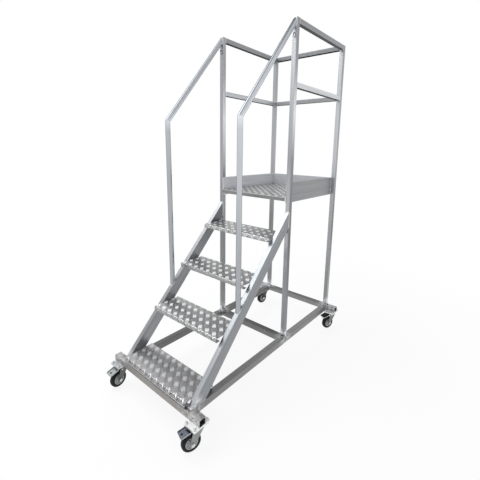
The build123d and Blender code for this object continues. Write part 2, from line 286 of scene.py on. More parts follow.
def aluminium(name, stretch, level=1.0, looks=(("Under", 0.25),), turn=(0, 0, 0), pale=PALE, deep=DEEP,
              rough=(0.28, 0.44), brushed=0.0, metallic=1.0, edge=1.0):
    """Mill finish aluminium with drawing lines along one axis and hand marks. Its level, one number or
    (metres, value) stops up from the floor, paints light and shade into its colour. Looks paint shade into the
    faces that look one way, in the same two manners, and edge dulls its gloss where it is seen edge on."""
    material, tree, shader = new_material(name, metallic=metallic, specular_tint=(edge, edge, edge))
    raw, stretched = object_coordinates(tree, stretch, turn)
    grain, faces = grouped(tree, DRAWN_GRAIN, vector=stretched), face_masks(tree)
    marks = hand_marks(tree, raw)
    colour = mixed(tree, grain["Lines"], deep, pale)
    stops = level if isinstance(level, tuple) else ((0, level), (FULL_HEIGHT, level))
    # Painted light and shade: the level dims the colour by height.
    colour = dimmed(tree, colour, by_height(tree, raw, stops))
    # Painted shade: each look dims the faces that look one way, by a number or by height.
    for look, factor in looks:
        value = by_height(tree, raw, factor) if isinstance(factor, tuple) else factor
        colour = dimmed(tree, colour, mixed(tree, faces[look], 1.0, value, "FLOAT"))
    colour = tone(tree, colour, marks["Scuffs"], 0.12, (0.85, 0.86, 0.88))
    if brushed:
        patch = grouped(tree, BRUSHED, vector=raw)
        colour = tone(tree, colour, patch["Mask"], brushed, (0.9, 0.915, 0.94))
    surfaced(tree, shader, colour, marks, rough)
    bumped(tree, shader, grain["Height"], 0.12, 0.0004)
    return material


# Drawing lines: their stretch along and across a tube, and the slope of those on the stringers.
LONG, ACROSS = 4.0, 420.0
ALONG_X, ALONG_Y, ALONG_Z = (LONG, ACROSS, ACROSS), (ACROSS, LONG, ACROSS), (ACROSS, ACROSS, LONG)
STAIR_SLOPE = math.atan2(230.0, 215.0)


def base_aluminium(name, stretch, level, top, warm, brushed):
    """Tube of the base, its level, top and warmth painting light, shade and a warm reflection into its colour,
    and wire brushed at its welds.
    """
    pale, deep = ([share * level * tint for tint in (1 + warm, 1, 1 - warm)] for share in (1.12, 0.86))
    return aluminium(name, stretch, looks=(("Under", 0.25), ("Top", top)), pale=pale, deep=deep,
                     rough=(0.34, 0.52), brushed=brushed)


# Columns: post, levels of its side faces and of its front and back faces at these heights, which paint light
# and shade.
POST_HEIGHTS = (0.3, 0.85, 1.38, 1.66, 1.95)
POSTS = [
    ("post_front_right", (0.33, 0.21, 0.35, 1.00, 0.52), (0.32, 0.68, 0.47, 0.62, 0.82)),
    ("post_front_left", (0.33, 0.30, 0.62, 1.00, 0.60), (0.29, 0.29, 0.47, 0.52, 0.48)),
    ("post_rear_right", (0.47, 0.20, 0.46, 0.50, 0.51), (0.36, 0.56, 0.73, 0.73, 0.69)),
    ("post_rear_left", (0.30, 0.28, 0.53, 0.53, 0.52), (0.30, 0.28, 0.50, 0.50, 0.47)),
]
# Columns: handrail, its levels at these heights, which paint light and shade and a highlight at the knee.
HANDRAIL_HEIGHTS = (0.5, 0.9, 1.2, 1.54, 1.6, 1.66, 1.93, 2.1)
HANDRAILS = [
    ("handrail_right", (0.48, 0.50, 0.61, 0.75, 1.0, 0.95, 0.92, 0.78)),
    ("handrail_left", (0.47, 0.48, 0.50, 0.60, 0.88, 0.70, 0.64, 0.64)),
]
# Columns: rail, run of its drawing lines, level and level of its underside, both painted light and shade,
# gloss where it is seen edge on.
RAILS = [
    ("top_rail_back", ALONG_X, 0.29, 0.10, 0.2),
    ("top_rail_left", ALONG_Y, 0.51, 0.20, 0.4),
    ("top_rail_right", ALONG_Y, 0.58, 0.20, 0.6),
    ("mid_rail_back", ALONG_X, 0.46, 0.30, 0.3),
    ("mid_rail_left", ALONG_Y, 0.80, 0.05, 0.2),
    ("mid_rail_right", ALONG_Y, 1.00, 0.02, 0.5),
    ("deck_bearer", ALONG_X, 0.51, 0.42, 1.0),
]
# Columns: toe board, its level, which paints light and shade.
TOE_BOARDS = [("toe_board_left", 0.95), ("toe_board_back", 0.76), ("toe_board_right", 0.39)]
# Columns: base tube, run of its drawing lines, level and level of its top, both painted light and shade,
# warmth of a painted warm reflection, share of its brushed patches.
BASE_TUBES = [
    ("front_cross_tube", ALONG_X, 0.31, 0.80, 0.05, 0.3),
    ("rear_cross_tube", ALONG_X, 0.26, 0.50, 0.0, 0.5),
    ("middle_cross_tube", ALONG_X, 0.195, 0.52, 0.0, 0.35),
    ("side_beam_right", ALONG_Y, 0.265, 0.95, 0.0, 0.35),
    ("side_beam_left", ALONG_Y, 0.17, 0.82, 0.0, 0.35),
]

# Finish of every node, by the start of its name.
FINISHES = {}
for name, sides, fronts in POSTS:
    FINISHES[name] = aluminium(f"{name}_aluminium", ALONG_Z, brushed=0.8, looks=(
        ("Side", tuple(zip(POST_HEIGHTS, sides))), ("Front", tuple(zip(POST_HEIGHTS, fronts)))))
for name, run, level, under, edge in RAILS:
    FINISHES[name] = aluminium(f"{name}_aluminium", run, level, (("Under", under),), edge=edge)
for name, level in TOE_BOARDS:
    FINISHES[name] = aluminium(f"{name}_aluminium", ALONG_Y, level, rough=(0.36, 0.5), metallic=0.4)
for name, run, level, top, warm, brushed in BASE_TUBES:
    FINISHES[name] = base_aluminium(f"{name}_aluminium", run, level, top, warm, brushed)
# Handrails: painted shade on the faces that look down and on those that look up.
for name, levels in HANDRAILS:
    FINISHES[name] = aluminium(f"{name}_aluminium", ALONG_Z, tuple(zip(HANDRAIL_HEIGHTS, levels)),
                               (("Under", 0.25), ("Top", 0.42)), pale=COOL, deep=(0.80, 0.84, 0.90),
                               rough=(0.16, 0.28), edge=0.06)
# Stringers: levels paint light and shade, with a painted highlight on the right one's top low down, and
# painted shade underneath.
FINISHES["stringer_right"] = aluminium(
    "stringer_right_aluminium", ALONG_Y, 0.62,
    (("Under", 0.25), ("Side", 0.57), ("Top", ((0.5, 1.0), (0.7, 0.7)))),
    (STAIR_SLOPE, 0, 0), pale=COOL, brushed=0.8)
FINISHES["stringer_left"] = aluminium(
    "stringer_left_aluminium", ALONG_Y, 0.49,
    (("Under", 0.25), ("Side", ((0.45, 0.72), (0.66, 0.70), (0.88, 0.41)))),
    (STAIR_SLOPE, 0, 0), brushed=0.8)
# Castor pads: a pale lit copy for the right ones and a darker copy at level 0.70 for the others, light and
# shade painted into one finish.
FINISHES["castor_pad_front_right"] = aluminium("painted_light_pad_aluminium", ALONG_X, pale=(0.98, 0.985, 0.99),
                                               deep=(0.92, 0.925, 0.935), rough=(0.3, 0.5), metallic=0.6)
FINISHES["castor_pad_rear_right"] = FINISHES["castor_pad_front_right"]
FINISHES["castor_pad"] = aluminium("pad_aluminium", ALONG_X, 0.70, rough=(0.3, 0.5))


def plate_metal():
    """Rolled chequer plate between its bars: cloudy shoe marks, light and shade painted by height on tops and
    noses, a little lilac near the floor, and painted shade on faces that look down.
    """
    material, tree, shader = new_material("plate_aluminium", metallic=1.0)
    raw, stretched = object_coordinates(tree, (30, 260, 260))
    grain, faces = grouped(tree, DRAWN_GRAIN, vector=stretched), face_masks(tree)
    marks = hand_marks(tree, raw, 9.0)
    top, nose = by_height(tree, raw, PLATE_PAINTED_LEVELS), by_height(tree, raw, NOSE_PAINTED_LEVELS)
    colour = mixed(tree, faces["Front"], top, nose)
    colour = dimmed(tree, colour, span_value(tree, marks["Cloud"], 0.78, 1.22))
    colour = tone(tree, colour, grain["Lines"], 0.12, (0.55, 0.55, 0.56))
    # Painted shade on the faces that look down.
    colour = tone(tree, colour, faces["Under"], 0.8, (0.40, 0.40, 0.41))
    surfaced(tree, shader, colour, marks, (0.20, 0.32))
    bumped(tree, shader, grain["Height"], 0.15, 0.0005)
    return material


# Colours of the plate and levels of its noses, at the heights of treads and deck, painting light and shade.
PLATE_PAINTED_LEVELS = [
    (0.0, (0.44, 0.425, 0.46)), (0.3, (0.44, 0.425, 0.46)), (0.42, (0.48, 0.48, 0.495)),
    (0.75, (0.36, 0.365, 0.38)), (0.88, (0.40, 0.41, 0.425)), (1.0, (0.40, 0.41, 0.425)),
    (1.1, (0.35, 0.36, 0.37)),
]
NOSE_PAINTED_LEVELS = [(0.2, 0.09), (0.44, 0.36), (0.67, 0.41), (0.9, 1.0), (1.13, 0.23)]


def bar_metal():
    """Raised bars of the chequer plate: painted white glints on the crests, and feet whose levels paint light
    and shade.
    """
    material, tree, shader = new_material("chequer_bar_aluminium")
    raw, _ = object_coordinates(tree)
    marks = hand_marks(tree, raw, 14.0)
    crest = add(tree, "ShaderNodeAttribute", attribute_name="crest")
    # Painted glint: crests turn white and less metallic, by the crest attribute and by height.
    painted_glint = stepped(tree, crest.outputs["Fac"], 0.2, 0.6)
    painted_glint = dimmed(tree, painted_glint, by_height(tree, raw, BAR_PAINTED_GLINT))
    colour = mixed(tree, painted_glint, by_height(tree, raw, BAR_FOOT_PAINTED_LEVELS), (0.99, 0.99, 0.99))
    colour = tone(tree, colour, marks["Scuffs"], 0.1, (0.6, 0.6, 0.61))
    surfaced(tree, shader, colour, marks, (0.24, 0.38))
    link(tree, span_value(tree, painted_glint, 1.0, 0.05), shader.inputs["Metallic"])
    return material


# Painted glints on the bars' crests and painted light and shade levels of their feet, at the heights of treads
# and deck.
BAR_PAINTED_GLINT = [(0.0, 0.55), (0.3, 0.55), (0.42, 1.0), (0.75, 1.0), (0.88, 0.8), (1.1, 0.7)]
BAR_FOOT_PAINTED_LEVELS = [(0.0, 0.46), (0.3, 0.46), (0.42, 0.50), (0.75, 0.39), (0.9, 0.44), (1.1, 0.36)]


def weld_metal():
    """Weld bead: bright ripples with a grey smoky bloom."""
    material, tree, shader = new_material("weld_bead_aluminium")
    raw, _ = object_coordinates(tree)
    marks = hand_marks(tree, raw, 70.0)
    colour = mixed(tree, marks["Cloud"], (0.55, 0.56, 0.57), (0.95, 0.96, 0.97))
    surfaced(tree, shader, colour, marks, (0.5, 0.3))
    link(tree, span_value(tree, marks["Cloud"], 1.0, 0.6), shader.inputs["Metallic"])
    return material


def zinc_metal(name, pale, deep):
    """Zinc plated pressed steel: faint mottled bloom with a greenish grey cast."""
    material, tree, shader = new_material(name, metallic=1.0)
    raw, _ = object_coordinates(tree)
    marks = hand_marks(tree, raw, 45.0, 160.0)
    colour = mixed(tree, marks["Cloud"], deep, pale)
    colour = tone(tree, colour, marks["Scuffs"], 0.3, (0.34, 0.34, 0.33))
    surfaced(tree, shader, colour, marks, (0.26, 0.42))
    bumped(tree, shader, marks["Cloud"], 0.08, 0.0006)
    return material


def pedal_metal(name, painted_reflection):
    """Brake pedal: pressed steel, a painted reflection on the faces that look up, bare zinc on its rim and
    sides.
    """
    material, tree, shader = new_material(name, metallic=0.9)
    raw, _ = object_coordinates(tree)
    marks, faces = hand_marks(tree, raw, 60.0), face_masks(tree)
    colour = mixed(tree, marks["Cloud"], (0.30, 0.32, 0.33), (0.52, 0.54, 0.55))
    colour = tone(tree, colour, faces["Top"], 0.92, painted_reflection)
    colour = tone(tree, colour, marks["Scuffs"], 0.35, (0.40, 0.42, 0.46))
    surfaced(tree, shader, colour, marks, (0.22, 0.4))
    return material


def moulded_grey():
    """Moulded grey rim with a fine grain."""
    material, tree, shader = new_material("rim_moulding")
    raw, fine = object_coordinates(tree, (900, 900, 900))
    marks = hand_marks(tree, raw, 30.0)
    colour = mixed(tree, marks["Cloud"], (0.48, 0.49, 0.50), (0.70, 0.71, 0.72))
    colour = tone(tree, colour, marks["Scuffs"], 0.25, (0.18, 0.17, 0.16))
    surfaced(tree, shader, colour, marks, (0.3, 0.45))
    bumped(tree, shader, noise(tree, fine, scale=1.0, detail=2.0), 0.1, 0.0003)
    return material


def black_rubber():
    """Black rubber, greyed by dust where it rolls."""
    material, tree, shader = new_material("tyre_rubber_black")
    raw, fine = object_coordinates(tree, (700, 700, 700))
    marks = hand_marks(tree, raw, 38.0)
    colour = mixed(tree, marks["Cloud"], (0.005, 0.005, 0.007), (0.013, 0.013, 0.016))
    colour = tone(tree, colour, marks["Scuffs"], 0.15, (0.07, 0.068, 0.066))
    shader.inputs["Specular IOR Level"].default_value = 0.2
    surfaced(tree, shader, colour, marks, (0.42, 0.6))
    bumped(tree, shader, noise(tree, fine, scale=1.0, detail=3.0), 0.2, 0.0004)
    return material


plate = plate_metal()
bar = bar_metal()
weld = weld_metal()
zinc = zinc_metal("zinc_plate", (0.70, 0.72, 0.70), (0.50, 0.53, 0.51))
bolt_zinc = zinc_metal("bolt_zinc", (0.88, 0.89, 0.88), (0.68, 0.69, 0.68))
# Pedals: a dark painted reflection for most, a pale lit copy for the front left one.
pedal = pedal_metal("pedal_painted_dark_reflection", (0.05, 0.055, 0.075))
pale_pedal = pedal_metal("pedal_painted_pale_reflection", (0.34, 0.35, 0.35))
rim_grey = moulded_grey()
rubber = black_rubber()

# Columns: corner, level of its fork, which paints light and shade into one zinc finish.
FORKS = [("front_left", 0.13), ("front_right", 0.30), ("rear_left", 0.07), ("rear_right", 0.20)]
for corner, level in FORKS:
    pale, deep = ([share * level for share in shares] for shares in ((1.1, 1.14, 1.1), (0.84, 0.9, 0.86)))
    FINISHES[f"fork_{corner}"] = zinc_metal(f"fork_zinc_painted_level_{corner}", pale, deep)
FINISHES.update({
    "tread": plate, "deck": plate, "castor_plate": zinc, "brake_front_left": pale_pedal, "brake": pedal,
    "axle": bolt_zinc, "rim": rim_grey, "tyre": rubber,
})
for name, node in nodes.items():
    finish = next(FINISHES[start] for start in FINISHES if name.startswith(start))
    node.data.materials.clear()
    node.data.materials.append(finish)


# Piece helpers

def piece(name, mesh, material, body, sharp=35):
    """A finished mesh as a piece that rides on a body, with the given material."""
    mesh.materials.clear()
    mesh.materials.append(material)
    mesh.polygons.foreach_set("use_smooth", [True] * len(mesh.polygons))
    mesh.set_sharp_from_angle(angle=math.radians(sharp))
    mesh.update()
    made = bpy.data.objects.new(name, mesh)
    scene.collection.objects.link(made)
    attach(made, body)
    return made


def to_mesh(bm, name):
    mesh = bpy.data.meshes.new(name)
    bm.to_mesh(mesh)
    bm.free()
    return mesh


def placed(target, bm, place):
    """Adds a closed shape at its place to a mesh in the making."""
    bmesh.ops.recalc_face_normals(bm, faces=bm.faces)
    bmesh.ops.transform(bm, matrix=place, verts=bm.verts)
    part = to_mesh(bm, "part")
    target.from_mesh(part)
    bpy.data.meshes.remove(part)


def extruded(bm, rim):
    """The points and the edges of a rim that is drawn out of another one."""
    made = bmesh.ops.extrude_edge_only(bm, edges=rim)["geom"]
    return ([g for g in made if isinstance(g, kind)] for kind in (bmesh.types.BMVert, bmesh.types.BMEdge))


def spun(bm, steps, near):
    """An outline spun all the way round the z axis. Points closer than near are merged."""
    bmesh.ops.spin(bm, geom=bm.verts[:] + bm.edges[:], cent=(0, 0, 0), axis=(0, 0, 1), angle=2 * math.pi,
                   steps=steps, use_merge=True)
    bmesh.ops.remove_doubles(bm, verts=bm.verts, dist=near)


def arrayed(template, places, glint_shares):
    """A mesh in the making with the template at each place. Glint shares scale each copy's crest attribute,
    which carries the painted glint.
    """
    crest = np.empty(len(template.vertices), np.float32)
    template.attributes["crest"].data.foreach_get("value", crest)
    bm = bmesh.new()
    for place, glint_share in zip(places, glint_shares):
        copy = template.copy()
        copy.transform(place)
        copy.attributes["crest"].data.foreach_set("value", glint_share * crest)
        bm.from_mesh(copy)
        bpy.data.meshes.remove(copy)
    return bm


# Chequer plate: five raised bars to a group, the groups turned by a right angle to their neighbours

BAR_LENGTH, BAR_WIDTH, BAR_HEIGHT, BAR_SINK = 44 * MM, 6.6 * MM, 1.8 * MM, 0.4 * MM
BAR_PITCH, GROUP_PITCH, BARS = 6.8 * MM, 55.5 * MM, 5
# Painted glints: white on the crests of one kind of group, faint on the other, which stands lower.
PAINTED_GLINT = ((0.25, 1.0, 1.0, 1.0, 0.25), (0.1, 0.2, 0.2, 0.2, 0.1))
GROUP_RISE = (1.0, 0.7)
# Share of the painted glint left on the bars round the nose.
NOSE_PAINTED_GLINT = 0.35
# Steps of a bar upwards: rise, and what is left of its length and width.
BAR_STEPS = [
    (BAR_SINK + BAR_HEIGHT * 0.6, (0.97, 0.93, 1)), (BAR_HEIGHT * 0.4, (0.95, 0.88, 1)), (0, (0.6, 0.8, 1)),
]


def bar_template():
    """One bar along X: a lens in plan that rises to a flat crest."""
    bm = bmesh.new()
    bmesh.ops.create_circle(bm, cap_ends=True, segments=10, radius=1.0)
    bmesh.ops.scale(bm, vec=(BAR_LENGTH / 2, BAR_WIDTH / 2, 1), verts=bm.verts)
    bmesh.ops.translate(bm, vec=(0, 0, -BAR_SINK), verts=bm.verts)
    rim = bm.edges[:]
    for rise, shrink in BAR_STEPS:
        ring, rim = extruded(bm, rim)
        bmesh.ops.translate(bm, vec=(0, 0, rise), verts=ring)
        bmesh.ops.scale(bm, vec=shrink, verts=ring)
    bmesh.ops.edgeloop_fill(bm, edges=rim)
    bmesh.ops.recalc_face_normals(bm, faces=bm.faces)
    mesh = to_mesh(bm, "chequer_bar")
    # Height up the bar, which the painted glint on the crest follows.
    crest_height = [max(0.0, v.co.z / BAR_HEIGHT) for v in mesh.vertices]
    mesh.attributes.new("crest", "FLOAT", "POINT").data.foreach_set("value", crest_height)
    return mesh


def bar_places(x_low, x_high, s_low, s_high, x_phase, s_phase):
    """Places and painted glint shares of all bars that reach into the flat sheet. x runs across, s back from
    the nose.
    """
    reach = 0.7 * GROUP_PITCH
    found, glint_shares = [], []
    for kind, shift in ((0, 0.0), (1, GROUP_PITCH / 2)):
        along = Matrix.Rotation(math.radians(135 if kind == 0 else 45), 4, "Z")
        rise = Matrix.Diagonal((1, 1, GROUP_RISE[kind], 1))
        half = along @ Vector((BAR_LENGTH / 2, 0, 0))
        first_x = math.floor((x_low - reach - x_phase - shift) / GROUP_PITCH)
        last_x = math.ceil((x_high + reach - x_phase - shift) / GROUP_PITCH)
        first_s = math.floor((s_low - reach - s_phase - shift) / GROUP_PITCH)
        last_s = math.ceil((s_high + reach - s_phase - shift) / GROUP_PITCH)
        for i in range(first_x, last_x + 1):
            for j in range(first_s, last_s + 1):
                middle = Vector((x_phase + shift + i * GROUP_PITCH, s_phase + shift + j * GROUP_PITCH, 0))
                for k in range(BARS):
                    at = middle + along @ Vector((0, (k - (BARS - 1) / 2) * BAR_PITCH, 0))
                    if (x_low - abs(half.x) < at.x < x_high + abs(half.x)
                            and s_low - abs(half.y) < at.y < s_high + abs(half.y)):
                        found.append(Matrix.Translation(at) @ along @ rise)
                        glint_shares.append(PAINTED_GLINT[kind][k])
    return found, glint_shares


def trimmed(bm, limits):
    """Bars cut off where the sheet is cut. Limits are (point, outward normal)."""
    for point, normal in limits:
        everything = bm.verts[:] + bm.edges[:] + bm.faces[:]
        bmesh.ops.bisect_plane(bm, geom=everything, dist=1e-7, plane_co=point, plane_no=normal,
                               clear_outer=True)
        open_edges = [e for e in bm.edges if e.is_boundary]
        if open_edges:
            bmesh.ops.holes_fill(bm, edges=open_edges, sides=0)


# The fold of the sheets, the height of a nose, its return under it, and the bars' distance from a cut edge.
FOLD, NOSE_DROP, NOSE_RETURN, BAR_MARGIN = 5 * MM, 25 * MM, 26 * MM, 1 * MM
# Along the flat sheet: where the nose's face starts and ends, and where its return starts.
QUARTER = FOLD * math.pi / 2
FACE_START = FOLD - QUARTER
FACE_END = FACE_START - (NOSE_DROP - 2 * FOLD)
RETURN_START = FACE_END - QUARTER


def folded(mesh, nose, top):
    """The flat sheet's bars laid over the nose: level behind it, down its face, and back under it."""
    flat = np.empty(len(mesh.vertices) * 3)
    mesh.vertices.foreach_get("co", flat)
    x, s, h = flat.reshape(-1, 3).T
    upper = np.clip((FOLD - s) / FOLD, 0, math.pi / 2)
    lower = np.clip((FACE_END - s) / FOLD, 0, math.pi / 2)
    zones = [s >= FOLD, s >= FACE_START, s >= FACE_END, s >= RETURN_START]
    back = [s, FOLD - (FOLD + h) * np.sin(upper), -h, FOLD - (FOLD + h) * np.cos(lower)]
    up = [h, (FOLD + h) * np.cos(upper) - FOLD, s - FACE_START - FOLD,
          FOLD - NOSE_DROP - (FOLD + h) * np.sin(lower)]
    y = nose + np.select(zones, back, FOLD + RETURN_START - s)
    z = top + np.select(zones, up, -NOSE_DROP - h)
    mesh.vertices.foreach_set("co", np.c_[x, y, z].ravel())
    crest = np.empty(len(mesh.vertices), np.float32)
    mesh.attributes["crest"].data.foreach_get("value", crest)
    mesh.attributes["crest"].data.foreach_set("value", np.where(s < FOLD, NOSE_PAINTED_GLINT * crest, crest))


def chequered(sheet, x_phase, s_phase, start):
    """Raised bars over one folded sheet, from a start that is measured back from the nose."""
    low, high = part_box(sheet)
    half = high.x - BAR_MARGIN
    depth = high.y - low.y - BAR_MARGIN
    bm = arrayed(bar_mesh, *bar_places(-half, half, start, depth, x_phase, s_phase))
    trimmed(bm, [
        (Vector((half, 0, 0)), Vector((1, 0, 0))),
        (Vector((-half, 0, 0)), Vector((-1, 0, 0))),
        (Vector((0, depth, 0)), Vector((0, 1, 0))),
        (Vector((0, start, 0)), Vector((0, -1, 0))),
    ])
    mesh = to_mesh(bm, f"chequer_bars_{sheet}")
    folded(mesh, low.y, high.z)
    piece(f"chequer_bars_{sheet}", mesh, bar, "frame", 30)


bar_mesh = bar_template()
RETURN_END = RETURN_START - (NOSE_RETURN - FOLD) + BAR_MARGIN
# Columns: sheet, place of a group across, its place back from the nose, start of the bars.
# The treads have bars round their noses, and the deck's nose is plain.
SHEETS = [
    ("tread_1", -250 * MM, 0 * MM, RETURN_END),
    ("tread_2", -267 * MM, 26 * MM, RETURN_END),
    ("tread_3", -258 * MM, 20 * MM, RETURN_END),
    ("tread_4", -262 * MM, 36 * MM, RETURN_END),
    ("deck", -255 * MM, 30 * MM, FOLD),
]
for sheet, x_phase, s_phase, start in SHEETS:
    chequered(sheet, x_phase, s_phase, start)


# Weld beads

# Ripples: their pitch, the sides of a bead, and its width at its ends and between ripples.
RIPPLE, BEAD_SIDES = 2.6 * MM, 6
BEAD_END, BEAD_NECK = 0.45, 0.8


def straight_bead(target, start, end, radius):
    """A rippled bead between two points, half sunk in the metal."""
    start, end = Vector(start), Vector(end)
    run = end - start
    ripples = max(3, round(run.length / RIPPLE))
    step = run.length / (2 * ripples)
    bm = bmesh.new()
    bmesh.ops.create_circle(bm, cap_ends=True, segments=BEAD_SIDES, radius=radius * BEAD_END)
    rim = bm.edges[:]
    width = BEAD_END
    for k in range(1, 2 * ripples + 1):
        ring, rim = extruded(bm, rim)
        wanted = BEAD_END if k == 2 * ripples else (1.0 if k % 2 else BEAD_NECK)
        bmesh.ops.translate(bm, vec=(0, 0, step), verts=ring)
        bmesh.ops.scale(bm, vec=(wanted / width, wanted / width, 1), verts=ring)
        width = wanted
    bmesh.ops.edgeloop_fill(bm, edges=rim)
    turn = run.to_track_quat("Z", "Y").to_matrix().to_4x4()
    placed(target, bm, Matrix.Translation(start) @ turn)


def ring_bead(target, place, across, along, radius):
    """A rippled bead round a tube's end. Place sets its plane, across and along its half widths there."""
    steps = 2 * round(math.pi * (across + along) / RIPPLE / 2)
    bm = bmesh.new()
    start = Matrix.Translation((1, 0, 0)) @ Matrix.Rotation(math.pi / 2, 4, "X")
    bmesh.ops.create_circle(bm, segments=BEAD_SIDES, radius=radius / across, matrix=start)
    spun(bm, steps, 1e-5)
    for v in bm.verts:
        around = math.atan2(v.co.y, v.co.x)
        if round(around / (2 * math.pi) * steps) % 2:
            middle = Vector((math.cos(around), math.sin(around), 0))
            v.co = middle + (v.co - middle) * BEAD_NECK
    placed(target, bm, place @ Matrix.Diagonal((across, along, across, 1)))


def square_bead(target, middle, u, v, half_u, half_v, radius):
    """Four beads round a tube's end, in the plane of the directions u and v."""
    middle, u, v = Vector(middle), Vector(u), Vector(v)
    corner = [middle + u * a * half_u + v * b * half_v for a, b in CORNERS]
    for k in range(4):
        straight_bead(target, corner[k], corner[(k + 1) % 4], radius)


X, Y, Z = (1, 0, 0), (0, 1, 0), (0, 0, 1)
CORNERS = ((-1, -1), (1, -1), (1, 1), (-1, 1))
# Radii of the beads: mitre seams, fine and middle welds, and the seam under the first tread.
HAIR, FINE, MIDDLE, SEAM = 0.9 * MM, 2.4 * MM, 3.2 * MM, 3.4 * MM
# Sizes that the welds follow, from the part.
STRINGER_DEPTH, HANDRAIL_RADIUS, KNEE_HEIGHT, TOE_WALL = 70 * MM, 15 * MM, 1600 * MM, 3 * MM
HANDRAIL_SLOPE = math.atan2(554.0, 460.0)
# Radii of the rings at a handrail's foot, head and knee.
FOOT_RING, HEAD_RING, KNEE_RING = (HANDRAIL_RADIUS + more for more in (0.3 * MM, 0.2 * MM, -0.1 * MM))
# A tread's weld starts behind its boxed nose and runs under the sheet, then up its back.
WELD_START, UNDER_SHEET, BACK_INSET = 62 * MM, 4 * MM, 2 * MM
# The seam under the first tread: its distance from the tread's ends, and back from the nose.
SEAM_INSET, SEAM_BACK = 6 * MM, 2.5 * MM
# Welds of the toe boards, from their edges, and those under the deck's edge, from its nose.
TOE_NEAR, TOE_FAR, TOE_FOOT, TOE_HEAD = 14 * MM, 50 * MM, 8 * MM, 4 * MM
DECK_BEADS, DECK_START, DECK_PITCH, DECK_LENGTH = 5, 40 * MM, 125 * MM, 50 * MM
post_low, post_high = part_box("post_front_right")
beam_low, beam_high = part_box("side_beam_right")
front_low, front_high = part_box("front_cross_tube")
rail_low, rail_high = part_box("handrail_right")
side_x, post_y, _ = middle_of("post_front_right")
rear_y = middle_of("post_rear_right").y
base_z = middle_of("front_cross_tube").z
half_post = (post_high.x - post_low.x) / 2
half_base = (front_high.y - front_low.y) / 2
rail_y = rail_low.y + HANDRAIL_RADIUS


def base_welds():
    """Feet of the posts, ends of the beams, and the pads under the cross tubes."""
    bm = bmesh.new()
    for sign in (-1, 1):
        x = sign * side_x
        for y in (post_y, rear_y):
            square_bead(bm, (x, y, beam_high.z), X, Y, half_post, half_post, MIDDLE)
        for y in (beam_low.y, beam_high.y):
            square_bead(bm, (x, y, base_z), X, Z, half_base, half_base, FINE)
        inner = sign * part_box("middle_cross_tube")[1].x
        square_bead(bm, (inner, post_y, base_z), Y, Z, half_base, half_base, FINE)
        for corner in ("front", "rear"):
            low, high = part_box(f"castor_pad_{corner}_{'left' if sign < 0 else 'right'}")
            middle = (low.y + high.y) / 2
            for edge in (-half_base, half_base):
                y = middle + edge
                straight_bead(bm, (low.x, y, high.z), (high.x, y, high.z), MIDDLE)
    piece("weld_beads_base", to_mesh(bm, "weld_beads_base"), weld, "frame", 60)


def stair_welds():
    """Stringers to base and posts, treads to stringers, the first tread to the front tube, handrail feet."""
    bm = bmesh.new()
    low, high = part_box("stringer_right")
    half_width = (high.x - low.x) / 2
    foot = STRINGER_DEPTH / math.sin(STAIR_SLOPE)
    head = STRINGER_DEPTH / math.cos(STAIR_SLOPE)
    rail_z = high.z - (high.y - rail_y) * math.tan(STAIR_SLOPE)
    for sign in (-1, 1):
        x = sign * side_x
        square_bead(bm, (x, low.y + foot / 2, low.z), X, Y, half_width, foot / 2, MIDDLE)
        square_bead(bm, (x, high.y, high.z - head / 2), X, Z, half_width, head / 2, MIDDLE)
        place = Matrix.Translation((x, rail_y, rail_z)) @ Matrix.Rotation(STAIR_SLOPE, 4, "X")
        ring_bead(bm, place, FOOT_RING, FOOT_RING / math.cos(STAIR_SLOPE), FINE)
        inner = sign * (side_x - half_width)
        for k in range(4):
            tread_low, tread_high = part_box(f"tread_{k + 1}")
            front, back, under = tread_low.y + WELD_START, tread_high.y, tread_high.z - UNDER_SHEET
            straight_bead(bm, (inner, front, under), (inner, back - UNDER_SHEET, under), MIDDLE)
            foot_z, head_z = tread_low.z + BACK_INSET, tread_high.z - BACK_INSET
            straight_bead(bm, (inner, back, foot_z), (inner, back, head_z), FINE)
    tread_low, tread_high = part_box("tread_1")
    seam_z = (front_high.z + tread_low.z) / 2
    seam = Vector((tread_high.x - SEAM_INSET, tread_low.y + SEAM_BACK, seam_z))
    straight_bead(bm, (-seam.x, seam.y, seam.z), seam, SEAM)
    piece("weld_beads_stair", to_mesh(bm, "weld_beads_stair"), weld, "frame", 60)


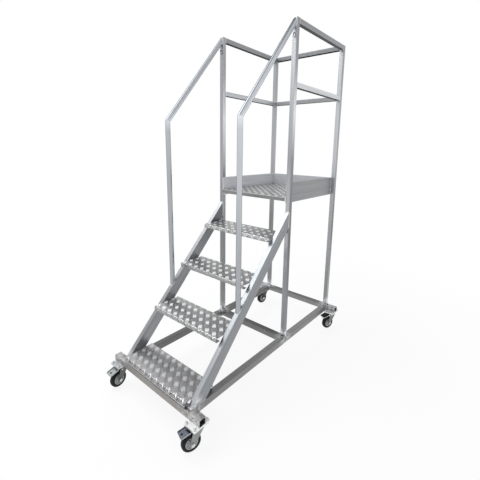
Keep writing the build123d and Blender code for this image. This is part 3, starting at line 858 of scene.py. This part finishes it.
def guard_welds():
    """Rails to posts, handrails to posts, mitre seams, toe boards and bearer."""
    bm = bmesh.new()
    for level in ("top", "mid"):
        low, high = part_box(f"{level}_rail_right")
        z = (low.z + high.z) / 2
        for sign in (-1, 1):
            for y in (low.y, high.y):
                square_bead(bm, (sign * side_x, y, z), X, Z, half_post, half_post, FINE)
            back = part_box(f"{level}_rail_back")[1].x
            square_bead(bm, (sign * back, rear_y, z), Y, Z, half_post, half_post, FINE)
    top = rail_high.z - HANDRAIL_RADIUS / math.cos(HANDRAIL_SLOPE)
    mitre = (math.pi / 2 - HANDRAIL_SLOPE) / 2
    toe_low, toe_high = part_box("toe_board_right")
    toe_beads = [(toe_low.z + TOE_NEAR, toe_low.z + TOE_FAR), (toe_high.z - TOE_FAR, toe_high.z - TOE_NEAR)]
    bearer_low, bearer_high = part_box("deck_bearer")
    _, bearer_y, bearer_z = middle_of("deck_bearer")
    half_y, half_z = (bearer_high.y - bearer_low.y) / 2, (bearer_high.z - bearer_low.z) / 2
    deck_low, deck_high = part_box("deck")
    under = deck_high.z - UNDER_SHEET
    for sign in (-1, 1):
        x = sign * side_x
        head = Matrix.Translation((x, rail_high.y, top)) @ Matrix.Rotation(math.pi / 2, 4, "X")
        ring_bead(bm, head, HEAD_RING, HEAD_RING / math.cos(HANDRAIL_SLOPE), MIDDLE)
        seam = Matrix.Translation((x, rail_y, KNEE_HEIGHT)) @ Matrix.Rotation(-mitre, 4, "X")
        ring_bead(bm, seam, KNEE_RING, KNEE_RING / math.cos(mitre), HAIR)
        face = sign * (side_x - half_post)
        for y in (post_y - half_post, post_y + half_post, rear_y - half_post):
            for start, end in toe_beads:
                straight_bead(bm, (face, y, start), (face, y, end), FINE)
        square_bead(bm, (face - sign * TOE_WALL, bearer_y, bearer_z), Y, Z, half_y, half_z, FINE)
        edge = sign * deck_high.x
        for k in range(DECK_BEADS):
            start = deck_low.y + DECK_START + DECK_PITCH * k
            straight_bead(bm, (edge, start, under), (edge, start + DECK_LENGTH, under), FINE)
        y = deck_high.y
        straight_bead(bm, (edge, y, toe_low.z + TOE_FOOT), (edge, y, toe_high.z - TOE_HEAD), FINE)
    piece("weld_beads_guard", to_mesh(bm, "weld_beads_guard"), weld, "frame", 60)


def chain_eyes():
    """A bent wire eye on the face of each front post, under the handrail's end."""
    bm = bmesh.new()
    for sign in (-1, 1):
        eye = bmesh.new()
        start = Matrix.Translation((0, 0, EYE_RADIUS)) @ Matrix.Rotation(math.pi / 2, 4, "X")
        bmesh.ops.create_circle(eye, segments=BEAD_SIDES, radius=EYE_WIRE, matrix=start)
        bmesh.ops.spin(eye, geom=eye.verts[:] + eye.edges[:], cent=(0, 0, 0), axis=X, angle=math.pi,
                       steps=EYE_STEPS)
        bmesh.ops.holes_fill(eye, edges=[e for e in eye.edges if e.is_boundary])
        place = (sign * side_x, post_low.y + EYE_SINK, post_high.z - EYE_DROP)
        placed(bm, eye, Matrix.Translation(place))
    # The eyes take the dark pedal finish, which paints their shade.
    piece("chain_eyes", to_mesh(bm, "chain_eyes"), pedal, "frame")


# Wire eyes: radius of bend and wire, steps round the bend, depth in the post, distance below its top.
EYE_RADIUS, EYE_WIRE, EYE_STEPS, EYE_SINK, EYE_DROP = 12 * MM, 3 * MM, 14, 1 * MM, 94 * MM
base_welds()
stair_welds()
guard_welds()
chain_eyes()


# Castors

WHEELS = {
    j["child"]: (Vector(j["pos_m"]), Vector(j["axis"])) for j in frame["joints"] if "wheel" in j["name"]
}
# Bolts: their places on the pad, thickness of the plate, the nuts' sizes, and their turns in radians.
BOLT_X, BOLT_Y, PLATE_DROP = 30 * MM, 40 * MM, 3 * MM
NUT_RADIUS, NUT_HEIGHT, NUT_MIDDLE, NUT_CHAMFER = 7.5 * MM, 6.5 * MM, 4.7 * MM, 0.6 * MM
NUT_TURN, NUT_TURN_STEP = 0.4, 1.3
# Ribs of a rim.
RIB_COUNT, RIB_SIZE, RIB_CHAMFER = 8, (8 * MM, 2.4 * MM, 18 * MM), 0.5 * MM
RIB_X, RIB_Z = 7.4 * MM, 20.6 * MM
# Places in the wheel's own frame, and the tilt of the pedal.
AXLE_REACH = 30 * MM
RIVET_X, RIVET_Y, RIVET_Z = 24 * MM, 17 * MM, 61 * MM
PEDAL_HOLE, PEDAL_TILT = (0, -43.6 * MM, 60.4 * MM), math.atan2(14.0, 64.0)
# Half of the tyre's section, as (place along the axle, radius).
TYRE_HALF = [
    (15, 33), (16, 34.2), (16.5, 36), (16, 37.8), (15.8, 41), (14.6, 44.6), (11.8, 47.6), (7.5, 49.4),
    (0, 50),
]
# Outlines of turned pieces, as (radius, height).
WASHER = [(0, -0.3), (8.2, -0.3), (8.2, 1.3), (7.8, 1.6), (0, 1.6)]
BOLT_END = [(0, 7.0), (4, 7.0), (4, 10.2), (3.2, 11), (0, 11)]
ROUND_HEAD = [(0, -0.2), (8.5, -0.2), (8.2, 1.2), (6.4, 2.6), (3.5, 3.2), (0, 3.4)]
AXLE_END = [(0, -0.3), (4.7, -0.3), (4.7, 3.4), (3.8, 4.3), (0, 4.3)]
SPRING_CUP = [(0, -4), (6.2, -4), (7.2, -3), (7.2, 0.2), (6.8, 0.2), (0, -1.5)]
RIVET = [(0, -0.3), (4.6, -0.3), (4.4, 0.8), (2.8, 2.0), (0, 2.4)]


def turned(target, outline, place, steps=20, closed=False):
    """A turned shape: its (radius, height) outline in millimetres spun about the place's z axis."""
    bm = bmesh.new()
    points = [bm.verts.new((radius * MM, 0, height * MM)) for radius, height in outline]
    for a, b in zip(points, points[1:] + points[:1] if closed else points[1:]):
        bm.edges.new((a, b))
    spun(bm, steps, 1e-6)
    placed(target, bm, place)


def axle_place(corner):
    """The wheel's own frame at its middle: x along the axle and z up."""
    middle, axle = WHEELS[f"wheel_{corner}"]
    turn = Matrix((axle, Vector(Z).cross(axle), Z)).transposed().to_4x4()
    return Matrix.Translation(middle) @ turn


def rounded_tyre(corner, place):
    """Solid rubber tyre with a crowned tread and a raised ring on each side."""
    outline = [(r, x) for x, r in TYRE_HALF] + [(r, -x) for x, r in TYRE_HALF[-2::-1]]
    bm = bmesh.new()
    turned(bm, outline, place @ Matrix.Rotation(math.pi / 2, 4, "Y"), 72, True)
    mesh = to_mesh(bm, "rounded_tyre")
    made = piece(f"rounded_tyre_{corner}", mesh, rubber, f"wheel_{corner}", 40)
    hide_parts(f"tyre_{corner}")


def chamfered(bm, offset):
    """Cuts a small chamfer on all edges of a mesh in the making."""
    bmesh.ops.bevel(bm, geom=bm.edges[:], offset=offset, affect="EDGES", segments=1, profile=0.5, material=-1)


def rim_ribs(corner, place):
    """Moulded ribs from the hub to the felloe, on both sides of the web."""
    bm = bmesh.new()
    for sign in (-1, 1):
        for k in range(RIB_COUNT):
            turn = Matrix.Rotation(2 * math.pi * k / RIB_COUNT, 4, "X")
            rib = Matrix.Translation((sign * RIB_X, 0, RIB_Z)) @ Matrix.Diagonal((*RIB_SIZE, 1))
            bmesh.ops.create_cube(bm, size=1, matrix=place @ turn @ rib)
    chamfered(bm, RIB_CHAMFER)
    piece(f"rim_ribs_{corner}", to_mesh(bm, "rim_ribs"), rim_grey, f"wheel_{corner}")


def castor_bolts(corner):
    """Bolts through plate and pad: round heads below, washers, nuts and bolt ends on top."""
    low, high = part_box(f"castor_pad_{corner}")
    middle = (low + high) / 2
    bm = bmesh.new()
    for k, (a, b) in enumerate(CORNERS):
        top = Matrix.Translation((middle.x + a * BOLT_X, middle.y + b * BOLT_Y, high.z))
        turned(bm, WASHER, top)
        turned(bm, BOLT_END, top)
        nut = bmesh.new()
        bmesh.ops.create_cone(nut, cap_ends=True, segments=6, radius1=NUT_RADIUS, radius2=NUT_RADIUS,
                              depth=NUT_HEIGHT)
        chamfered(nut, NUT_CHAMFER)
        turn = Matrix.Rotation(NUT_TURN + NUT_TURN_STEP * k, 4, "Z")
        placed(bm, nut, top @ Matrix.Translation((0, 0, NUT_MIDDLE)) @ turn)
        under = Matrix.Translation((top.translation.x, top.translation.y, low.z - PLATE_DROP))
        turned(bm, ROUND_HEAD, under @ Matrix.Rotation(math.pi, 4, "X"))
    piece(f"castor_bolts_{corner}", to_mesh(bm, "castor_bolts"), bolt_zinc, "frame")


def fork_fasteners(corner, place):
    """End of the axle bolt beyond its nut, and the rivets that hold the brake's spring in the cheeks."""
    bm = bmesh.new()
    end = Matrix.Translation((AXLE_REACH, 0, 0)) @ Matrix.Rotation(math.pi / 2, 4, "Y")
    turned(bm, AXLE_END, place @ end)
    for sign in (-1, 1):
        turn = Matrix.Rotation(sign * math.pi / 2, 4, "Y")
        turned(bm, RIVET, place @ Matrix.Translation((sign * RIVET_X, RIVET_Y, RIVET_Z)) @ turn, 14)
    mesh = to_mesh(bm, "fork_fasteners")
    piece(f"fork_fasteners_{corner}", mesh, bolt_zinc, f"swivel_{corner}")


def spring_cup(corner, place):
    """Black cup of the brake's spring, under the hole of the pedal."""
    bm = bmesh.new()
    tilt = Matrix.Rotation(PEDAL_TILT, 4, "X")
    turned(bm, SPRING_CUP, place @ Matrix.Translation(PEDAL_HOLE) @ tilt)
    piece(f"spring_cup_{corner}", to_mesh(bm, "spring_cup"), rubber, f"swivel_{corner}")


for corner, _ in FORKS:
    wheel = axle_place(corner)
    rounded_tyre(corner, wheel)
    spring_cup(corner, wheel)
    rim_ribs(corner, wheel)
    castor_bolts(corner)
    fork_fasteners(corner, wheel)


# Floor, light and camera

# The floor's shadow fades out between these distances. The share of white in it, and the floor's half width.
SHADOW_FADE, SHADOW_WHITE, FLOOR_HALF = (1.0, 3.2), 0.88, 40


def pale_floor():
    """Floor that keeps the object's shadow and turns white away from it, like a seamless backdrop."""
    bm = bmesh.new()
    bmesh.ops.create_grid(bm, x_segments=1, y_segments=1, size=FLOOR_HALF)
    floor = bpy.data.objects.new("floor", to_mesh(bm, "floor"))
    scene.collection.objects.link(floor)
    material, tree, shader = new_material("pale_floor", roughness=0.9)
    raw, _ = object_coordinates(tree)
    cloud = noise(tree, raw, scale=1.5, detail=3.0)
    link(tree, mixed(tree, cloud, (0.87, 0.87, 0.87), (0.9, 0.9, 0.9)), shader.inputs["Base Color"])
    shader.inputs["Specular IOR Level"].default_value = 0.1
    glow = add(tree, "ShaderNodeEmission")
    path = add(tree, "ShaderNodeLightPath")
    seen = reckon(tree, "MAXIMUM", path.outputs["Is Camera Ray"], path.outputs["Is Glossy Ray"])
    seen = reckon(tree, "MAXIMUM", seen, path.outputs["Is Transmission Ray"])
    white = stepped(tree, length(tree, raw), *SHADOW_FADE, SHADOW_WHITE, 1.0)
    mix = add(tree, "ShaderNodeMixShader")
    link(tree, reckon(tree, "MULTIPLY", seen, white), mix.inputs["Fac"])
    link(tree, shader.outputs["BSDF"], mix.inputs[1])
    link(tree, glow.outputs["Emission"], mix.inputs[2])
    out = next(n for n in tree.nodes if n.type == "OUTPUT_MATERIAL")
    link(tree, mix.outputs["Shader"], out.inputs["Surface"])
    floor.data.materials.append(material)


BACKDROP_WAY = (-0.63, 0.777, 0)


def white_room():
    """A white backdrop behind the object, pale walls elsewhere, duller higher up, and a paler ceiling."""
    world = bpy.data.worlds.new("white_room")
    scene.world = world
    world.use_nodes = True
    tree = world.node_tree
    tree.nodes.clear()
    way = add(tree, "ShaderNodeTexCoord").outputs["Generated"]
    facing = add(tree, "ShaderNodeVectorMath", operation="DOT_PRODUCT")
    facing.inputs[1].default_value = BACKDROP_WAY
    link(tree, way, facing.inputs[0])
    up = axes(tree, way)["Z"]
    ceiling = stepped(tree, up, 0.50, 0.75, 0.0, 0.15)
    walls = reckon(tree, "ADD", stepped(tree, up, 0.12, 0.30, 0.95, 0.60), ceiling)
    backdrop = stepped(tree, up, 0.45, 0.80, 1.0, 1.02)
    behind = stepped(tree, facing.outputs["Value"], 0.45, 0.68)
    sky = add(tree, "ShaderNodeBackground", strength=mixed(tree, behind, walls, backdrop, "FLOAT"))
    sky.inputs["Color"].default_value = (1, 1, 1, 1)
    add(tree, "ShaderNodeOutputWorld", surface=sky.outputs["Background"])


LAMP_SIZE, LAMP_POWER, LAMP_COLOUR, LAMP_PLACE = (3.0, 3.6), 115, (0.95, 0.98, 1.0), (-2.0, -1.6, 4.2)


def soft_lamp():
    """A broad soft lamp, high at the front left."""
    lamp = bpy.data.lights.new("overhead_soft_light", "AREA")
    lamp.shape = "RECTANGLE"
    lamp.size, lamp.size_y = LAMP_SIZE
    lamp.energy = LAMP_POWER
    lamp.color = LAMP_COLOUR
    held = bpy.data.objects.new("overhead_soft_light", lamp)
    held.location = LAMP_PLACE
    scene.collection.objects.link(held)


CAMERA_PLACE = (1.372457, -1.586289, 1.441521)
CAMERA_YAW, CAMERA_PITCH, CAMERA_ROLL = 39.002, 11.317, 1.081
SENSOR_WIDTH = 36.0
FOCAL_PIXELS, FRAME_PIXELS, OPTICAL_X, OPTICAL_Y = 321.64, 480, 251.674, 213.748


def photograph_camera():
    """The camera of the photograph, as fitted to the edges that it shows."""
    data = bpy.data.cameras.new("camera")
    data.sensor_fit = "HORIZONTAL"
    data.sensor_width = SENSOR_WIDTH
    data.lens = FOCAL_PIXELS / FRAME_PIXELS * SENSOR_WIDTH
    data.shift_x = (FRAME_PIXELS / 2 - OPTICAL_X) / FRAME_PIXELS
    data.shift_y = (OPTICAL_Y - FRAME_PIXELS / 2) / FRAME_PIXELS
    data.clip_start, data.clip_end = 0.05, 200
    held = bpy.data.objects.new("camera", data)
    turn = Matrix.Rotation(math.radians(CAMERA_YAW), 4, "Z")
    turn = turn @ Matrix.Rotation(math.radians(90 - CAMERA_PITCH), 4, "X")
    turn = turn @ Matrix.Rotation(math.radians(CAMERA_ROLL), 4, "Z")
    held.matrix_world = Matrix.Translation(CAMERA_PLACE) @ turn
    scene.collection.objects.link(held)
    scene.camera = held


pale_floor()
white_room()
soft_lamp()
photograph_camera()
